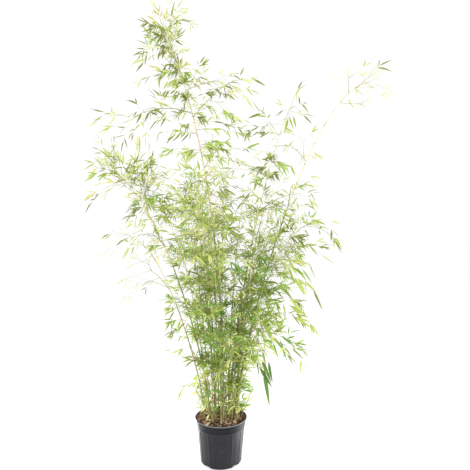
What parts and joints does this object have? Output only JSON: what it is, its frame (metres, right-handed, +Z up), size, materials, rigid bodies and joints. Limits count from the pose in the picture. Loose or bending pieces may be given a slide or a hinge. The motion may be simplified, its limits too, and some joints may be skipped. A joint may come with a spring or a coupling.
{
  "type": "potted bamboo",
  "caption": "Tall clump of leafy bamboo culms that fan out from a ribbed black nursery pot filled with bark potting mix.",
  "frame": {"origin": "centre of the pot's flat underside, on the ground", "axes": "+Z up, along the pot's axis and the clump; +X towards the long right-hand culm, away from the tall left-leaning leader; -Y towards the viewer"},
  "size_m": [1.634, 0.9305, 2.3863],
  "materials": {
    "pot": "satin black moulded plastic",
    "potting_mix": "damp bark compost",
    "culm": "smooth green cane",
    "foliage": "thin matt leaves"
  },
  "bodies": {
    "root": {"pot": "pot", "potting_mix": "potting_mix", "culm_clump_01": "culm", "culm_clump_02": "culm", "culm_clump_03": "culm", "culm_clump_04": "culm", "culm_clump_05": "culm", "culm_clump_06": "culm", "culm_clump_07": "culm", "culm_clump_08": "culm", "culm_clump_09": "culm", "culm_clump_10": "culm", "culm_clump_11": "culm", "culm_clump_12": "culm", "culm_leader": "culm", "culm_left_low": "culm", "culm_left_outer": "culm", "culm_right_inner": "culm", "culm_right_low": "culm", "culm_right_outer": "culm", "foliage_clump_01_side_1": "foliage", "foliage_clump_01_tip": "foliage", "foliage_clump_02_side_1": "foliage", "foliage_clump_02_tip": "foliage", "foliage_clump_03_side_1": "foliage", "foliage_clump_03_tip": "foliage", "foliage_clump_04_tip": "foliage", "foliage_clump_05_side_1": "foliage", "foliage_clump_05_tip": "foliage", "foliage_clump_06_side_1": "foliage", "foliage_clump_06_tip": "foliage", "foliage_clump_07_side_1": "foliage", "foliage_clump_07_tip": "foliage", "foliage_clump_08_tip": "foliage", "foliage_clump_09_side_1": "foliage", "foliage_clump_09_tip": "foliage", "foliage_clump_10_side_1": "foliage", "foliage_clump_10_tip": "foliage", "foliage_clump_11_side_1": "foliage", "foliage_clump_11_tip": "foliage", "foliage_clump_12_tip": "foliage", "foliage_leader_side_1": "foliage", "foliage_leader_side_2": "foliage", "foliage_leader_side_3": "foliage", "foliage_leader_side_4": "foliage", "foliage_leader_side_5": "foliage", "foliage_leader_tip": "foliage", "foliage_left_low_side_1": "foliage", "foliage_left_low_tip": "foliage", "foliage_left_outer_side_1": "foliage", "foliage_left_outer_side_2": "foliage", "foliage_left_outer_tip": "foliage", "foliage_right_inner_side_1": "foliage", "foliage_right_inner_side_2": "foliage", "foliage_right_inner_tip": "foliage", "foliage_right_low_side_1": "foliage", "foliage_right_low_tip": "foliage", "foliage_right_outer_side_1": "foliage", "foliage_right_outer_side_2": "foliage", "foliage_right_outer_tip": "foliage"}
  },
  "joints": []
}
